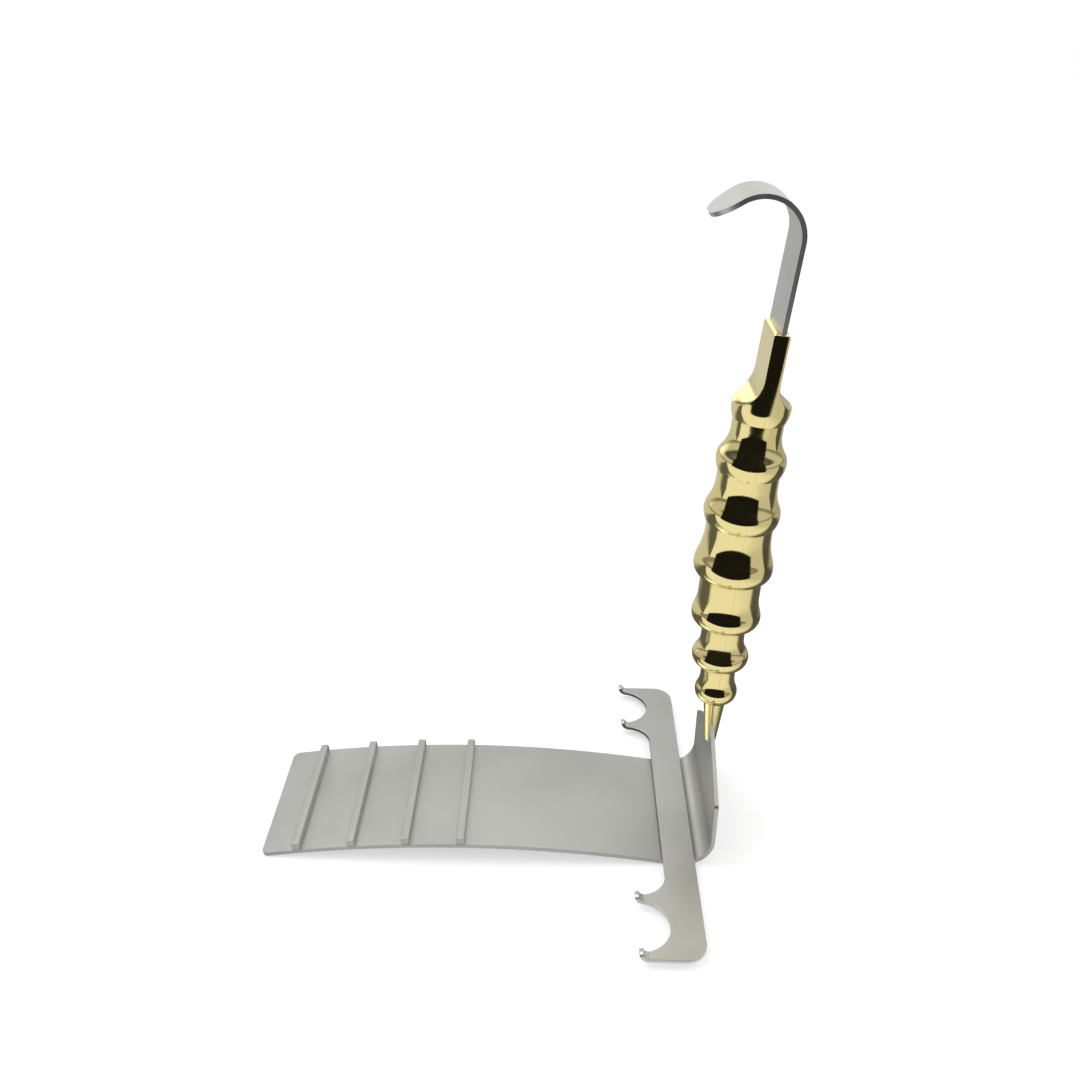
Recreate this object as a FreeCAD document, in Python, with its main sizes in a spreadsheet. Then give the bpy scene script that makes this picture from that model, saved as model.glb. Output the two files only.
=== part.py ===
import FreeCAD, Part
import math
import os

import Sketcher

# Abdominal retractor with a ribbed, arched blade, a forked cross bar and a ringed hollow handle.
# Millimetres. X runs along the blade towards the heel, Y across it, Z up.
# The origin is on the heel's flat land, in the plane that the instrument rests on.

doc = FreeCAD.newDocument("abdominal_retractor")
sheet = doc.addObject("Spreadsheet::Sheet", "sizes")

# Driving dimensions: name, value, what it measures
dimensions = [
    ("bladeWidth", 60.0, "blade, across"),
    ("bladeThickness", 1.5, "blade sheet"),
    ("bladeReach", 158.4, "origin to the blade's tip"),
    ("archRadius", 478.0, "lower face of the arched blade"),
    ("landLength", 2.0, "flat land, from the origin towards the tip"),
    ("blendRadius", 18.0, "lower face, arch to land"),
    ("heelStart", 1.55, "origin to the start of the heel bend"),
    ("heelRadius", 10.2, "inner face of the heel bend"),
    ("shoulderFoot", 28.2, "height of the upright's outer corners"),
    ("shoulderTop", 46.2, "height at which the shoulders meet the tang"),
    ("tangWidth", 4.8, "tang, across"),
    ("tangTop", 57.0, "height of the tang's end"),
    ("tipCorner", 2.5, "corner radius at the blade's tip"),
    ("uprightCorner", 2.2, "corner radius where the shoulders start"),
    ("ribSide", 3.0, "side of a rib's square section"),
    ("ribSetback", 13.4, "tip to the first rib's centre, along X"),
    ("ribPitch", 20.8, "rib to rib, along X"),
    ("ribEdge", 0.35, "eased edge of a rib"),
    ("barWidth", 12.0, "cross bar"),
    ("barThickness", 1.5, "cross bar sheet"),
    ("barReach", 79.0, "centre to the cross bar's end"),
    ("barCorner", 7.8, "rounded outer corner of the cross bar"),
    ("notchRadius", 11.6, "round notch between two prongs"),
    ("outerProng", 3.2, "outer prong, where it is narrowest"),
    ("innerProng", 3.3, "inner prong, where it is narrowest"),
    ("notchOut", 17.5, "notch's centre, towards the tip"),
    ("prongSweep", 9.5, "radius of the sweep into the inner prong"),
    ("curlStart", 14.2, "where the prongs start to curl, towards the tip"),
    ("curlRadius", 2.2, "inner radius of the curled prong ends"),
    ("curlAngle", 85.0, "turn of the curled prong ends, degrees"),
    ("curlRound", 0.7, "rounding of the curled ends"),
    ("handleFoot", 36.0, "height of the handle's lowest point"),
    ("handleOffset", 0.4, "handle's middle line behind the middle of the upright"),
    ("bowRadius", 1650.0, "bow of the handle's middle line"),
    ("ferruleTip", 2.2, "radius at the handle's slotted lower end"),
    ("ferruleRound", 1.6, "rounding of the slotted end"),
    ("ringCrest1", 138.2, "ring 1, handle's foot to the crest"),
    ("ringRadius1", 9.9, "ring 1, crest"),
    ("waistDepth1", 8.5, "ring 1, crest to the waist below it"),
    ("waistRadius1", 8.7, "ring 1, waist below it"),
    ("ringCrest2", 119.2, "ring 2, handle's foot to the crest"),
    ("ringRadius2", 12.0, "ring 2, crest"),
    ("waistDepth2", 8.9, "ring 2, crest to the waist below it"),
    ("waistRadius2", 10.7, "ring 2, waist below it"),
    ("ringCrest3", 99.6, "ring 3, handle's foot to the crest"),
    ("ringRadius3", 13.3, "ring 3, crest"),
    ("waistDepth3", 7.8, "ring 3, crest to the waist below it"),
    ("waistRadius3", 11.7, "ring 3, waist below it"),
    ("ringCrest4", 78.3, "ring 4, handle's foot to the crest"),
    ("ringRadius4", 14.1, "ring 4, crest"),
    ("waistDepth4", 12.0, "ring 4, crest to the waist below it"),
    ("waistRadius4", 11.0, "ring 4, waist below it"),
    ("ringCrest5", 58.2, "ring 5, handle's foot to the crest"),
    ("ringRadius5", 12.5, "ring 5, crest"),
    ("waistDepth5", 10.0, "ring 5, crest to the waist below it"),
    ("waistRadius5", 7.9, "ring 5, waist below it"),
    ("ringCrest6", 40.3, "ring 6, handle's foot to the crest"),
    ("ringRadius6", 10.4, "ring 6, crest"),
    ("waistDepth6", 9.2, "ring 6, crest to the waist below it"),
    ("waistRadius6", 6.4, "ring 6, waist below it"),
    ("ringCrest7", 24.3, "ring 7, handle's foot to the crest"),
    ("ringRadius7", 7.9, "ring 7, crest"),
    ("waistDepth7", 7.0, "ring 7, crest to the waist below it"),
    ("waistRadius7", 4.2, "ring 7, waist below it"),
    ("ringLip", 4.4, "crest of a ring to the crease below it"),
    ("creaseGrowth", 0.3, "a ring's crease over its waist, in radius"),
    ("ringEntry", 0.8, "waist's entry into the ring above it"),
    ("flareShare", 0.7, "share of a ring's flare that curves outwards"),
    ("shellWall", 1.4, "wall of the pressed handle shells"),
    ("neckTop", 165.6, "handle's foot to the neck's rim, along the handle"),
    ("neckThickness", 5.4, "flattened neck, front to back"),
    ("neckRun", 10.0, "radius of the run-out from the neck's flats"),
    ("rimBevel", 1.5, "bevel round the neck's rim"),
    ("hookWidth", 21.6, "hook strip, across"),
    ("hookThickness", 1.5, "hook strip"),
    ("hookTail", 18.0, "hook strip inside the neck"),
    ("hookTailWidth", 16.0, "strip's tail inside the neck, across"),
    ("hookRise", 27.9, "neck's rim to the start of the hook"),
    ("hookRadius", 12.0, "inside of the hook"),
    ("hookTurn", 127.0, "turn of the hook, degrees"),
    ("hookRun", 9.8, "straight end of the hook"),
    ("hookCorner", 9.2, "corner radius at the hook's end"),
]

ringCount = 7  # counted from the neck down

for row, (name, value, meaning) in enumerate(dimensions, 1):
    sheet.set(f"A{row}", meaning)
    sheet.set(f"B{row}", str(value))
    sheet.setAlias(f"B{row}", name)
doc.recompute()


class Size:
    # A length or angle that knows its value and the formula on the sheet's cells that gives it
    def __init__(self, text, value):
        self.text = text
        self.value = value

    def joined(self, other, sign, value):
        return Size(f"({self.text} {sign} {other.text})", value)

    def __add__(self, other):
        other = asSize(other)
        return self.joined(other, "+", self.value + other.value)

    def __sub__(self, other):
        other = asSize(other)
        return self.joined(other, "-", self.value - other.value)

    def __mul__(self, other):
        other = asSize(other)
        return self.joined(other, "*", self.value * other.value)

    def __truediv__(self, other):
        other = asSize(other)
        return self.joined(other, "/", self.value / other.value)

    def __radd__(self, other):
        return asSize(other) + self

    def __rsub__(self, other):
        return asSize(other) - self

    def __rmul__(self, other):
        return asSize(other) * self

    def __neg__(self):
        return asSize(0) - self


def asSize(number):
    return number if isinstance(number, Size) else Size(repr(float(number)), float(number))


def cell(name):
    return Size(f"sizes.{name}", float(sheet.get(name)))


def root(size):
    return Size(f"sqrt({size.text})", math.sqrt(size.value))


def sine(degrees):
    return Size(f"sin({degrees.text})", math.sin(math.radians(degrees.value)))


def cosine(degrees):
    return Size(f"cos({degrees.text})", math.cos(math.radians(degrees.value)))


def bind(thing, prop, size):
    size = asSize(size)
    thing.setExpression(prop, size.text)


def newBody(name):
    body = doc.addObject("PartDesign::Body", name)
    body.Label = name
    return body


def newSketch(body, name, role):
    # role is XY_Plane, XZ_Plane or YZ_Plane of the body's own origin
    sketch = body.newObject("Sketcher::SketchObject", name)
    plane = [feature for feature in body.Origin.OriginFeatures if feature.Role == role][0]
    sketch.AttachmentSupport = (plane, [""])
    sketch.MapMode = "FlatFace"
    return sketch


def drawOutline(sketch, corners, arcs=None):
    # A closed outline through the corners. arcs maps an edge's number to (centre x, centre y, +1 or -1):
    # edge n runs from corner n to the next one, and +1 turns anticlockwise.
    arcs = arcs or {}
    points = [(asSize(x), asSize(y)) for x, y in corners]
    up = FreeCAD.Vector(0, 0, 1)
    for number, (startX, startY) in enumerate(points):
        endX, endY = points[(number + 1) % len(points)]
        start = FreeCAD.Vector(startX.value, startY.value, 0)
        end = FreeCAD.Vector(endX.value, endY.value, 0)
        if number in arcs:
            middleX, middleY, turn = arcs[number]
            middle = FreeCAD.Vector(asSize(middleX).value, asSize(middleY).value, 0)
            first, last = (start, end) if turn > 0 else (end, start)
            angles = [math.atan2(spot.y - middle.y, spot.x - middle.x) for spot in (first, last)]
            circle = Part.Circle(middle, up, (start - middle).Length)
            sketch.addGeometry(Part.ArcOfCircle(circle, angles[0], angles[1]), False)
        else:
            sketch.addGeometry(Part.LineSegment(start, end), False)
    for number in range(len(points)):
        following = (number + 1) % len(points)
        endPoint = 1 if number in arcs and arcs[number][2] < 0 else 2
        startPoint = 2 if following in arcs and arcs[following][2] < 0 else 1
        sketch.addConstraint(Sketcher.Constraint("Coincident", number, endPoint, following, startPoint))
    for number, (x, y) in enumerate(points):
        point = 2 if number in arcs and arcs[number][2] < 0 else 1
        for kind, size in (("DistanceX", x), ("DistanceY", y)):
            index = sketch.addConstraint(Sketcher.Constraint(kind, number, point, size.value))
            sketch.setExpression(f"Constraints[{index}]", size.text)
    for number, (middleX, middleY, turn) in arcs.items():
        x, y = points[number]
        reachX = asSize(middleX) - x
        reachY = asSize(middleY) - y
        radius = root(reachX * reachX + reachY * reachY)
        index = sketch.addConstraint(Sketcher.Constraint("Radius", number, radius.value))
        sketch.setExpression(f"Constraints[{index}]", radius.text)


def addPad(body, sketch, length, name):
    # Half of the pad lies on each side of its sketch
    pad = body.newObject("PartDesign::Pad", name)
    pad.Profile = sketch
    pad.Midplane = True
    bind(pad, "Length", length)
    return pad


def addPocket(body, sketch, name):
    pocket = body.newObject("PartDesign::Pocket", name)
    pocket.Profile = sketch
    pocket.Type = 1
    pocket.Midplane = True
    return pocket


def addTurning(body, sketch, name):
    # A full turn about the sketch's own upright axis
    turning = body.newObject("PartDesign::Revolution", name)
    turning.Profile = sketch
    turning.ReferenceAxis = (sketch, ["V_Axis"])
    turning.Angle = 360.0
    return turning


def addFillet(body, base, name, radius, chosen):
    # Rounds the base's edges that the function chosen picks
    doc.recompute()
    edges = [f"Edge{number}" for number, edge in enumerate(base.Shape.Edges, 1) if chosen(edge)]
    fillet = body.newObject("PartDesign::Fillet", name)
    fillet.Base = (base, edges)
    bind(fillet, "Radius", radius)
    return fillet


def isStraight(edge, direction):
    if not isinstance(edge.Curve, Part.Line):
        return False
    return abs(abs(edge.Curve.Direction.dot(direction)) - 1.0) < 1e-4


axisX = FreeCAD.Vector(1, 0, 0)
axisY = FreeCAD.Vector(0, 1, 0)
axisZ = FreeCAD.Vector(0, 0, 1)

bladeWidth = cell("bladeWidth")
bladeThickness = cell("bladeThickness")
bladeReach = cell("bladeReach")
archRadius = cell("archRadius")
blendRadius = cell("blendRadius")
heelStart = cell("heelStart")
heelRadius = cell("heelRadius")
landLength = cell("landLength")

# The arch ends at the tip on the resting plane and touches the blend above the land
blendX = -landLength
alongX = blendX + bladeReach
spanSquared = alongX * alongX + blendRadius * blendRadius
span = root(spanSquared)
reachSum = archRadius + blendRadius
towardsBlend = (spanSquared + archRadius * archRadius - reachSum * reachSum) / (span * 2)
sideways = root(archRadius * archRadius - towardsBlend * towardsBlend)
archX = (towardsBlend * alongX + sideways * blendRadius) / span - bladeReach
archZ = (towardsBlend * blendRadius - sideways * alongX) / span
# Where the arch and the blend meet
meetShare = archRadius / reachSum
meetX = archX + (blendX - archX) * meetShare
meetZ = archZ + (blendRadius - archZ) * meetShare
# The upper face, one sheet thickness above the lower one
upperArch = archRadius + bladeThickness
upperShare = upperArch / reachSum
upperMeetX = archX + (blendX - archX) * upperShare
upperMeetZ = archZ + (blendRadius - archZ) * upperShare
tipTopZ = archZ + root(upperArch * upperArch - (bladeReach + archX) * (bladeReach + archX))
uprightInner = heelStart + heelRadius
uprightOuter = uprightInner + bladeThickness
heelMiddleZ = heelRadius + bladeThickness


def makeBlade():
    body = newBody("blade")
    side = newSketch(body, "blade_side", "XZ_Plane")
    tangTop = cell("tangTop")
    corners = [
        (-bladeReach, 0),
        (meetX, meetZ),
        (blendX, 0),
        (heelStart, 0),
        (uprightOuter, heelMiddleZ),
        (uprightOuter, tangTop),
        (uprightInner, tangTop),
        (uprightInner, heelMiddleZ),
        (heelStart, bladeThickness),
        (blendX, bladeThickness),
        (upperMeetX, upperMeetZ),
        (-bladeReach, tipTopZ),
    ]
    arcs = {
        0: (archX, archZ, -1),
        1: (blendX, blendRadius, 1),
        3: (heelStart, heelMiddleZ, 1),
        7: (heelStart, heelMiddleZ, -1),
        9: (blendX, blendRadius, -1),
        10: (archX, archZ, 1),
    }
    drawOutline(side, corners, arcs)
    sheetPad = addPad(body, side, bladeWidth, "sheet")

    # The two sloping shoulders, cut straight through the upright
    halfBlade = bladeWidth / 2
    halfTang = cell("tangWidth") / 2
    foot = cell("shoulderFoot")
    top = cell("shoulderTop")
    beyond = halfBlade + halfTang
    above = tangTop + halfTang
    for hand, name in ((1, "far"), (-1, "near")):
        cut = newSketch(body, f"{name}_shoulder", "YZ_Plane")
        outline = [(halfBlade, foot), (beyond, foot), (beyond, above), (halfTang, above), (halfTang, top)]
        drawOutline(cut, [(across * hand, height) for across, height in outline])
        shoulder = addPocket(body, cut, f"{name}_shoulder_cut")

    def atUprightCorner(edge):
        spot = edge.CenterOfMass
        return isStraight(edge, axisX) and abs(spot.z - foot.value) < 0.01

    def atTipCorner(edge):
        spot = edge.CenterOfMass
        return isStraight(edge, axisZ) and abs(spot.x + bladeReach.value) < 0.01

    rounded = addFillet(body, shoulder, "upright_corners", cell("uprightCorner"), atUprightCorner)
    tip = addFillet(body, rounded, "tip_corners", cell("tipCorner"), atTipCorner)
    body.Tip = tip
    return body


def makeRib(number):
    # A square bar laid on the arch, tilted with it
    body = newBody(f"rib_{number}")
    ribSide = cell("ribSide")
    section = newSketch(body, f"rib_{number}_section", "XZ_Plane")
    half = ribSide / 2
    drawOutline(section, [(-half, 0), (half, 0), (half, ribSide), (-half, ribSide)])
    bar = addPad(body, section, bladeWidth, f"rib_{number}_bar")

    def onTop(edge):
        return isStraight(edge, axisY) and edge.CenterOfMass.z > ribSide.value * 0.9

    body.Tip = addFillet(body, bar, f"rib_{number}_edges", cell("ribEdge"), onTop)
    ribX = cell("ribSetback") + cell("ribPitch") * (number - 1) - bladeReach
    lean = math.asin((ribX.value - archX.value) / upperArch.value)
    seatZ = archZ + root(upperArch * upperArch - (ribX - archX) * (ribX - archX))
    seat = FreeCAD.Vector(ribX.value, 0, seatZ.value)
    body.Placement = FreeCAD.Placement(seat, FreeCAD.Rotation(axisY, math.degrees(lean)))
    return body


def makeCrossBar():
    # One half is drawn, lying across the blade, and mirrored. Its edges rest on the heel's rising bend.
    body = newBody("cross_bar")
    half = cell("barWidth") / 2
    thickness = cell("barThickness")
    reach = cell("barReach")
    corner = cell("barCorner")
    notch = cell("notchRadius")
    notchY = reach - cell("outerProng") - notch
    notchX = -cell("notchOut")
    sweep = cell("prongSweep")
    base = notchY - notch - cell("innerProng") - sweep
    curlX = -cell("curlStart")
    sweepX = -half - sweep
    onArc = root(notch * notch - (curlX - notchX) * (curlX - notchX))
    onSweep = base + root(sweep * sweep - (curlX - sweepX) * (curlX - sweepX))
    plan = newSketch(body, "bar_plan", "XY_Plane")
    outline = [
        (half, 0),
        (half, reach - corner),
        (half - corner, reach),
        (curlX, reach),
        (curlX, notchY + onArc),
        (curlX, notchY - onArc),
        (curlX, onSweep),
        (-half, base),
        (-half, 0),
    ]
    arcs = {
        1: (half - corner, reach - corner, 1),
        4: (notchX, notchY, -1),
        6: (sweepX, base, -1),
    }
    drawOutline(plan, outline, arcs)
    bar = body.newObject("PartDesign::Pad", "bar_sheet")
    bar.Profile = plan
    bind(bar, "Length", thickness)
    features = [bar]

    curl = cell("curlRadius")
    prongs = (
        ("outer", notchY + onArc, reach),
        ("inner", onSweep, notchY - onArc),
    )
    for name, low, high in prongs:
        end = newSketch(body, f"{name}_prong_end", "YZ_Plane")
        bind(end, "AttachmentOffset.Base.z", curlX)
        drawOutline(end, [(low, 0), (high, 0), (high, thickness), (low, thickness)])
        above = (thickness + curl).value
        ends = [FreeCAD.Vector(size.value, above, 0) for size in (low, high)]
        axis = end.addGeometry(Part.LineSegment(*ends), True)
        end.addConstraint(Sketcher.Constraint("Horizontal", axis))
        anchors = (("DistanceX", 1, low), ("DistanceX", 2, high), ("DistanceY", 1, thickness + curl))
        for kind, point, size in anchors:
            index = end.addConstraint(Sketcher.Constraint(kind, axis, point, size.value))
            bind(end, f"Constraints[{index}]", size)
        turned = body.newObject("PartDesign::Revolution", f"{name}_prong_curl")
        turned.Profile = end
        turned.ReferenceAxis = (end, ["Axis0"])
        bind(turned, "Angle", cell("curlAngle"))
        features.append(turned)

    def onCurledEnd(edge):
        spot = edge.CenterOfMass
        return spot.z > (thickness + curl / 2).value and spot.x < (curlX - curl).value

    rounded = addFillet(body, turned, "prong_ends", cell("curlRound"), onCurledEnd)
    mirror = body.newObject("PartDesign::Mirrored", "both_halves")
    mirror.Originals = features + [rounded]
    middlePlanes = [plane for plane in body.Origin.OriginFeatures if plane.Role == "XZ_Plane"]
    mirror.MirrorPlane = (middlePlanes[0], [""])
    body.Tip = mirror
    rise = heelRadius - root(heelRadius * heelRadius - (half - heelStart) * (half - heelStart))
    bind(body, "Placement.Base.z", bladeThickness + rise)
    return body


# The handle's middle line: an arc that starts straight up and bows towards +X
bowRadius = cell("bowRadius")
handleFoot = cell("handleFoot")
bowStart = uprightInner + bladeThickness / 2 + cell("handleOffset")
fullTurn = 180 / math.pi


def tiltAt(station):
    return station / bowRadius * fullTurn


def bowX(station):
    return bowStart + bowRadius * (1 - cosine(tiltAt(station)))


def bowZ(station):
    return handleFoot + bowRadius * sine(tiltAt(station))


def placeOnBow(sketch, station):
    # Stands an upright sketch on the handle's middle line, square to it
    tilt = -tiltAt(station)
    spot = FreeCAD.Vector(bowX(station).value, bowZ(station).value, 0)
    sketch.AttachmentOffset = FreeCAD.Placement(spot, FreeCAD.Rotation(axisZ, tilt.value))
    bind(sketch, "AttachmentOffset.Base.x", bowX(station))
    bind(sketch, "AttachmentOffset.Base.y", bowZ(station))
    bind(sketch, "AttachmentOffset.Rotation.Angle", tilt)


def creaseBelow(number):
    # Station and radius of the crease under a ring
    return cell(f"ringCrest{number}") - cell("ringLip"), cell(f"waistRadius{number}") + cell("creaseGrowth")


def addRing(body, number):
    # One bell: it turns under from its crest to its crease, and flares from the waist of the ring above,
    # which it enters a little
    crest = cell(f"ringCrest{number}")
    radius = cell(f"ringRadius{number}")
    crease, creaseRadius = creaseBelow(number)
    lip = crest - crease
    turned = radius - creaseRadius
    under = (lip * lip + turned * turned) / (turned * 2)
    profile = newSketch(body, f"ring_{number}_profile", "XZ_Plane")
    placeOnBow(profile, crest)
    outline = [(0, -lip), (creaseRadius, -lip), (radius, 0)]
    arcs = {1: (radius - under, 0, 1)}
    if number == 1:
        top = cell("neckTop") - crest
        bevel = cell("rimBevel")
        outline += [(radius, top - bevel), (radius - bevel, top), (0, top)]
        arcs[3] = (radius - bevel, top - bevel, 1)
    else:
        above = number - 1
        waist = cell(f"waistRadius{above}")
        flare = cell(f"ringCrest{above}") - cell(f"waistDepth{above}") - crest
        entry = cell(f"ringCrest{above}") - cell("ringLip") + cell("ringEntry") - crest
        share = cell("flareShare")
        growth = radius - waist
        slope = (growth * growth + flare * flare) / (growth * 2)
        outline += [
            (radius - growth * (1 - share), flare * (1 - share)),
            (waist, flare),
            (waist, entry),
            (0, entry),
        ]
        arcs[2] = (radius - slope * (1 - share), 0, 1)
        arcs[3] = (waist + slope * share, flare, -1)
    drawOutline(profile, outline, arcs)
    return addTurning(body, profile, f"ring_{number}")


def addFerrule(body):
    # The tapered end below the last ring, rounded at its foot
    tip = cell("ferruleTip")
    rounding = cell("ferruleRound")
    crease, creaseRadius = creaseBelow(ringCount)
    entry = cell("ringEntry")
    top = creaseRadius - cell("creaseGrowth")
    profile = newSketch(body, "ferrule_profile", "XZ_Plane")
    placeOnBow(profile, asSize(0))
    outline = [
        (0, 0),
        (tip - rounding, 0),
        (tip, rounding),
        (top, crease),
        (top, crease + entry),
        (0, crease + entry),
    ]
    drawOutline(profile, outline, {1: (tip - rounding, rounding, 1)})
    return addTurning(body, profile, "ferrule")


def makeHandleForm():
    # The handle's outer form: slotted ferrule, seven rings and the flattened neck
    body = newBody("handle_form")
    form = addFerrule(body)
    for number in range(ringCount, 0, -1):
        form = addRing(body, number)

    # The neck is flattened front and back, with a round run-out above the top ring and a bevelled rim
    flat = cell("neckThickness") / 2
    run = cell("neckRun")
    bevel = cell("rimBevel")
    top = cell("neckTop") - cell("ringCrest1")
    reachOut = cell("ringRadius1") + bevel
    above = top + bevel
    rise = root(run * run - (run - reachOut + flat) * (run - reachOut + flat))
    start = run + bevel
    for hand, name in ((1, "back"), (-1, "front")):
        side = newSketch(body, f"neck_{name}_flat", "XZ_Plane")
        placeOnBow(side, cell("ringCrest1"))
        outline = [
            (flat * hand, start),
            (flat * hand, top - bevel),
            ((flat - bevel) * hand, top),
            ((flat - bevel) * hand, above),
            (reachOut * hand, above),
            (reachOut * hand, start - rise),
        ]
        drawOutline(side, outline, {5: ((flat + run) * hand, start, -hand)})
        form = addPocket(body, side, f"neck_{name}_cut")
    body.Tip = form
    return body


def makeHollow():
    # The space inside the two shells, which keeps the wall at every crest, crease and waist
    body = newBody("hollow")
    wall = cell("shellWall")
    for number in range(ringCount - 1, 0, -1):
        crest = cell(f"ringCrest{number}")
        crease, creaseRadius = creaseBelow(number)
        profile = newSketch(body, f"hollow_{number}_profile", "XZ_Plane")
        placeOnBow(profile, crest)
        start = crease - crest
        outline = [(0, start), (creaseRadius - wall, start), (cell(f"ringRadius{number}") - wall, 0)]
        if number == 1:
            outline.append((0, 0))
        else:
            above = number - 1
            waist = cell(f"ringCrest{above}") - cell(f"waistDepth{above}") - crest
            entry = cell(f"ringCrest{above}") - cell("ringLip") + cell("ringEntry") - crest
            inside = cell(f"waistRadius{above}") - wall
            outline += [(inside, waist), (inside, entry), (0, entry)]
        drawOutline(profile, outline)
        space = addTurning(body, profile, f"hollow_{number}")
    body.Tip = space
    return body


def makePartingBlock():
    # Everything in front of the handle's middle line, as a block whose face holds the axis of every ring
    body = newBody("parting_block")
    side = newSketch(body, "parting_side", "XZ_Plane")
    margin = cell("ringRadius4") * 1.5
    stations = [asSize(0)] + [cell(f"ringCrest{number}") for number in range(ringCount, 0, -1)]
    face = [(bowStart, handleFoot - margin)]
    for lower, upper in zip(stations, stations[1:]):
        middle = (tiltAt(lower) + tiltAt(upper)) / 2
        away = bowRadius / cosine((tiltAt(upper) - tiltAt(lower)) / 2)
        face.append((bowStart + bowRadius - away * cosine(middle), handleFoot + away * sine(middle)))
    crest = stations[-1]
    length = cell("neckTop") - crest + margin
    face.append((bowX(crest) + length * sine(tiltAt(crest)), bowZ(crest) + length * cosine(tiltAt(crest))))
    front = bowStart - margin * 2
    drawOutline(side, face + [(front, face[-1][1]), (front, face[0][1])])
    body.Tip = addPad(body, side, margin * 2, "parting_pad")
    return body


def makeEndHook():
    # A flat strip in the neck's own frame, bent over towards the blade's tip
    body = newBody("end_hook")
    half = cell("hookThickness") / 2
    rise = cell("hookRise")
    inner = cell("hookRadius")
    outer = inner + half * 2
    turn = cell("hookTurn")
    run = cell("hookRun")
    tail = cell("hookTail")
    middle = -inner - half
    outerX = middle + outer * cosine(turn)
    outerZ = rise + outer * sine(turn)
    innerX = middle + inner * cosine(turn)
    innerZ = rise + inner * sine(turn)
    side = newSketch(body, "hook_side", "XZ_Plane")
    outline = [
        (half, 0),
        (half, rise),
        (outerX, outerZ),
        (outerX - run * sine(turn), outerZ + run * cosine(turn)),
        (innerX - run * sine(turn), innerZ + run * cosine(turn)),
        (innerX, innerZ),
        (-half, rise),
        (-half, 0),
    ]
    drawOutline(side, outline, {1: (middle, rise, 1), 5: (middle, rise, -1)})
    addPad(body, side, cell("hookWidth"), "strip")
    buried = newSketch(body, "hook_tail_side", "XZ_Plane")
    drawOutline(buried, [(-half, -tail), (half, -tail), (half, 0), (-half, 0)])
    strip = addPad(body, buried, cell("hookTailWidth"), "strip_tail")
    doc.recompute()
    endX = (outerX - run * sine(turn)).value
    turnAngle = math.radians(turn.value)
    through = FreeCAD.Vector(math.cos(turnAngle), 0, math.sin(turnAngle))

    def atHookEnd(edge):
        return isStraight(edge, through) and abs(edge.CenterOfMass.x - endX) < half.value * 2

    body.Tip = addFillet(body, strip, "hook_corners", cell("hookCorner"), atHookEnd)
    rim = cell("neckTop")
    seat = FreeCAD.Vector(bowX(rim).value, 0, bowZ(rim).value)
    body.Placement = FreeCAD.Placement(seat, FreeCAD.Rotation(axisY, tiltAt(rim).value))
    bind(body, "Placement.Base.x", bowX(rim))
    bind(body, "Placement.Base.z", bowZ(rim))
    bind(body, "Placement.Rotation.Angle", tiltAt(rim))
    return body


def combine(kind, name, base, tool):
    result = doc.addObject(kind, name)
    result.Label = name
    result.Base = base
    result.Tool = tool
    return result


blade = makeBlade()
ribs = [makeRib(number) for number in range(1, 5)]
crossBar = makeCrossBar()
endHook = makeEndHook()
handleForm = makeHandleForm()
hollow = makeHollow()
parting = makePartingBlock()

# The tang and the strip's tail fill their slots in the handle, and the two shells part on the middle line
hollowed = combine("Part::Cut", "handle_hollowed", handleForm, hollow)
tangSlotted = combine("Part::Cut", "handle_tang_slotted", hollowed, blade)
slotted = combine("Part::Cut", "handle_slotted", tangSlotted, endHook)
backShell = combine("Part::Cut", "handle_back_shell", slotted, parting)
frontShell = doc.addObject("Part::Common", "handle_front_shell")
frontShell.Label = "handle_front_shell"
frontShell.Base = slotted
frontShell.Tool = parting
doc.recompute()

parts = [blade] + ribs + [crossBar, frontShell, backShell, endHook]
for thing in doc.Objects:
    if "Invalid" in thing.State or "Error" in thing.State:
        raise RuntimeError(f"{thing.Name} failed: {thing.State}")
for part in parts:
    if part.Shape.isNull() or not part.Shape.isValid():
        raise RuntimeError(f"{part.Label} has no valid shape")

os.makedirs("parts", exist_ok=True)
for part in parts:
    solids = len(part.Shape.Solids)
    print(f"{part.Label}: {solids} solid, {part.Shape.Volume:.1f} mm3, box {part.Shape.BoundBox}")
    part.Shape.exportStep(f"parts/{part.Label}.step")
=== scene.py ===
import math

import bmesh
import bpy
from mathutils import Matrix, Vector


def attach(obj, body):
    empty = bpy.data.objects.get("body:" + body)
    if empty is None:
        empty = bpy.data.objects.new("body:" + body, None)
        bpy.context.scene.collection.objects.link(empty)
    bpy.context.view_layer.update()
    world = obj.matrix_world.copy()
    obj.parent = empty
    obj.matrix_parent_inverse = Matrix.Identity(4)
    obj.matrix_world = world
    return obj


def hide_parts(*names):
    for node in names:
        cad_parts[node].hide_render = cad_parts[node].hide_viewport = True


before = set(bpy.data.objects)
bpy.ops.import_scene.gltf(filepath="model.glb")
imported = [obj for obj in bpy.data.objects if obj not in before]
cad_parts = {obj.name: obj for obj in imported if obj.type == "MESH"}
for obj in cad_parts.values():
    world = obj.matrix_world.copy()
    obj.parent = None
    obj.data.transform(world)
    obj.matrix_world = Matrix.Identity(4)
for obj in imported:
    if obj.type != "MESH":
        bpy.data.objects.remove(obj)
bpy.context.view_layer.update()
print("frame loaded:", ", ".join(sorted(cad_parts)))

mm = 0.001  # sizes below are in millimetres, the scene is in metres


# Node helpers: sockets as Python values, nodes from one method

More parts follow.
